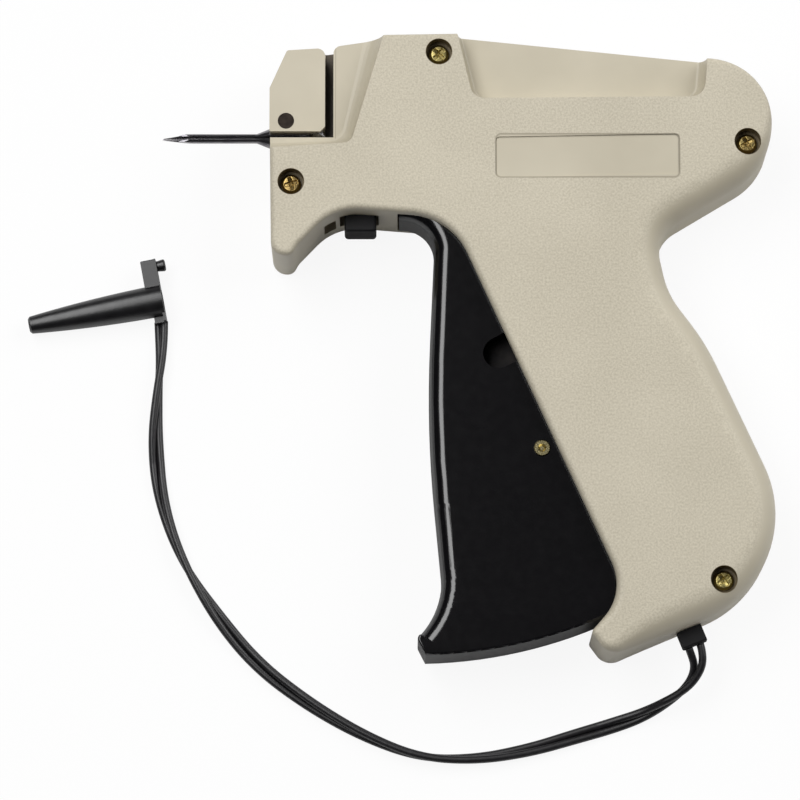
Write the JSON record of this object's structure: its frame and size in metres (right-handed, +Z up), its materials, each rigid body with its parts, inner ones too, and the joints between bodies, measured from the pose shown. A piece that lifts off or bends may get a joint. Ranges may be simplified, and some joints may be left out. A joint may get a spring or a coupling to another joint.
{
  "type": "garment tag attacher",
  "caption": "Handheld garment tag attacher lying on its side: beige two-shell pistol body, black trigger, slotted steel needle, and a tethered needle cap on a twin cord.",
  "frame": {"origin": "Centre of the gun's footprint as it lies on its side, on the surface it lies on; the tethered cap and its cord are not counted.", "axes": "+X from the needle to the back of the housing, +Y from the foot of the grip to the top edge, +Z up from the surface, from the right shell to the left shell."},
  "size_m": [0.1871, 0.1821, 0.026],
  "materials": {
    "shell_plastic": "warm beige ABS with a fine spark-eroded grain",
    "trigger_plastic": "gloss black ABS",
    "black_plastic": "black ABS",
    "cap_plastic": "soft black polyethylene",
    "acetal": "white acetal",
    "buffer_rubber": "black nitrile rubber",
    "needle_steel": "ground stainless steel",
    "pin_steel": "turned steel",
    "pressed_steel": "zinc-plated steel",
    "spring_steel": "spring wire",
    "rivet_brass": "turned brass",
    "screw_zinc": "yellow-passivated steel, coloured like brass"
  },
  "bodies": {
    "housing": {"left_shell": "shell_plastic", "right_shell": "shell_plastic", "trigger_pivot_pin": "pin_steel", "lever_fulcrum_pin": "pin_steel", "feed_wheel_pin": "pin_steel", "release_lever_pin": "pin_steel", "return_spring": "spring_steel", "release_spring": "spring_steel", "rod_guide": "rivet_brass", "carriage_buffer": "buffer_rubber", "needle": "needle_steel", "knife": "needle_steel", "housing_screws": "screw_zinc", "cord_anchor": "cap_plastic", "cap_cord": "cap_plastic", "needle_cap": "cap_plastic"},
    "trigger": {"trigger": "trigger_plastic", "trigger_link_pin": "rivet_brass", "feed_finger": "spring_steel"},
    "lever": {"drive_lever": "pressed_steel"},
    "carriage": {"carriage": "acetal", "pusher_rod": "pin_steel", "drive_pin": "pin_steel"},
    "feed_wheel": {"feed_wheel": "acetal"},
    "release": {"release_lever": "black_plastic"},
    "lock": {"needle_lock": "black_plastic"}
  },
  "joints": [
    {"name": "trigger_squeeze", "type": "hinge", "parent": "housing", "child": "trigger", "pos_m": [-0.0132, 0.0393, 0.013], "axis": [0, 0, 1], "range_deg": [0, 22], "stiffness_Nm_per_rad": 0.8, "springref_deg": -20.05},
    {"name": "lever_swing", "type": "hinge", "parent": "housing", "child": "lever", "pos_m": [0.0224, 0.0086, 0.013], "axis": [0, 0, 1], "range_deg": [0, 50.87], "deforming": ["return_spring"]},
    {"name": "carriage_slide", "type": "slide", "parent": "housing", "child": "carriage", "axis": [-1, 0, 0], "range_m": [0, 0.0424]},
    {"name": "feed_wheel_turn", "type": "hinge", "parent": "housing", "child": "feed_wheel", "pos_m": [-0.0293, 0.0465, 0.013], "axis": [0, 0, 1], "continuous": true},
    {"name": "release_press", "type": "hinge", "parent": "housing", "child": "release", "pos_m": [-0.0229, 0.0406, 0.013], "axis": [0, 0, 1], "range_deg": [-5, 0], "stiffness_Nm_per_rad": 0.02, "springref_deg": 8.59, "deforming": ["release_spring"]},
    {"name": "needle_lock_turn", "type": "hinge", "parent": "housing", "child": "lock", "pos_m": [-0.0456, 0.0568, 0.004], "axis": [0, 0, 1], "range_deg": [-90, 0]}
  ],
  "couplings": [
    {"joint": "lever_swing", "follows": "trigger_squeeze", "ratio": 2.31},
    {"joint": "carriage_slide", "follows": "trigger_squeeze", "m_per_rad": 0.11036}
  ]
}
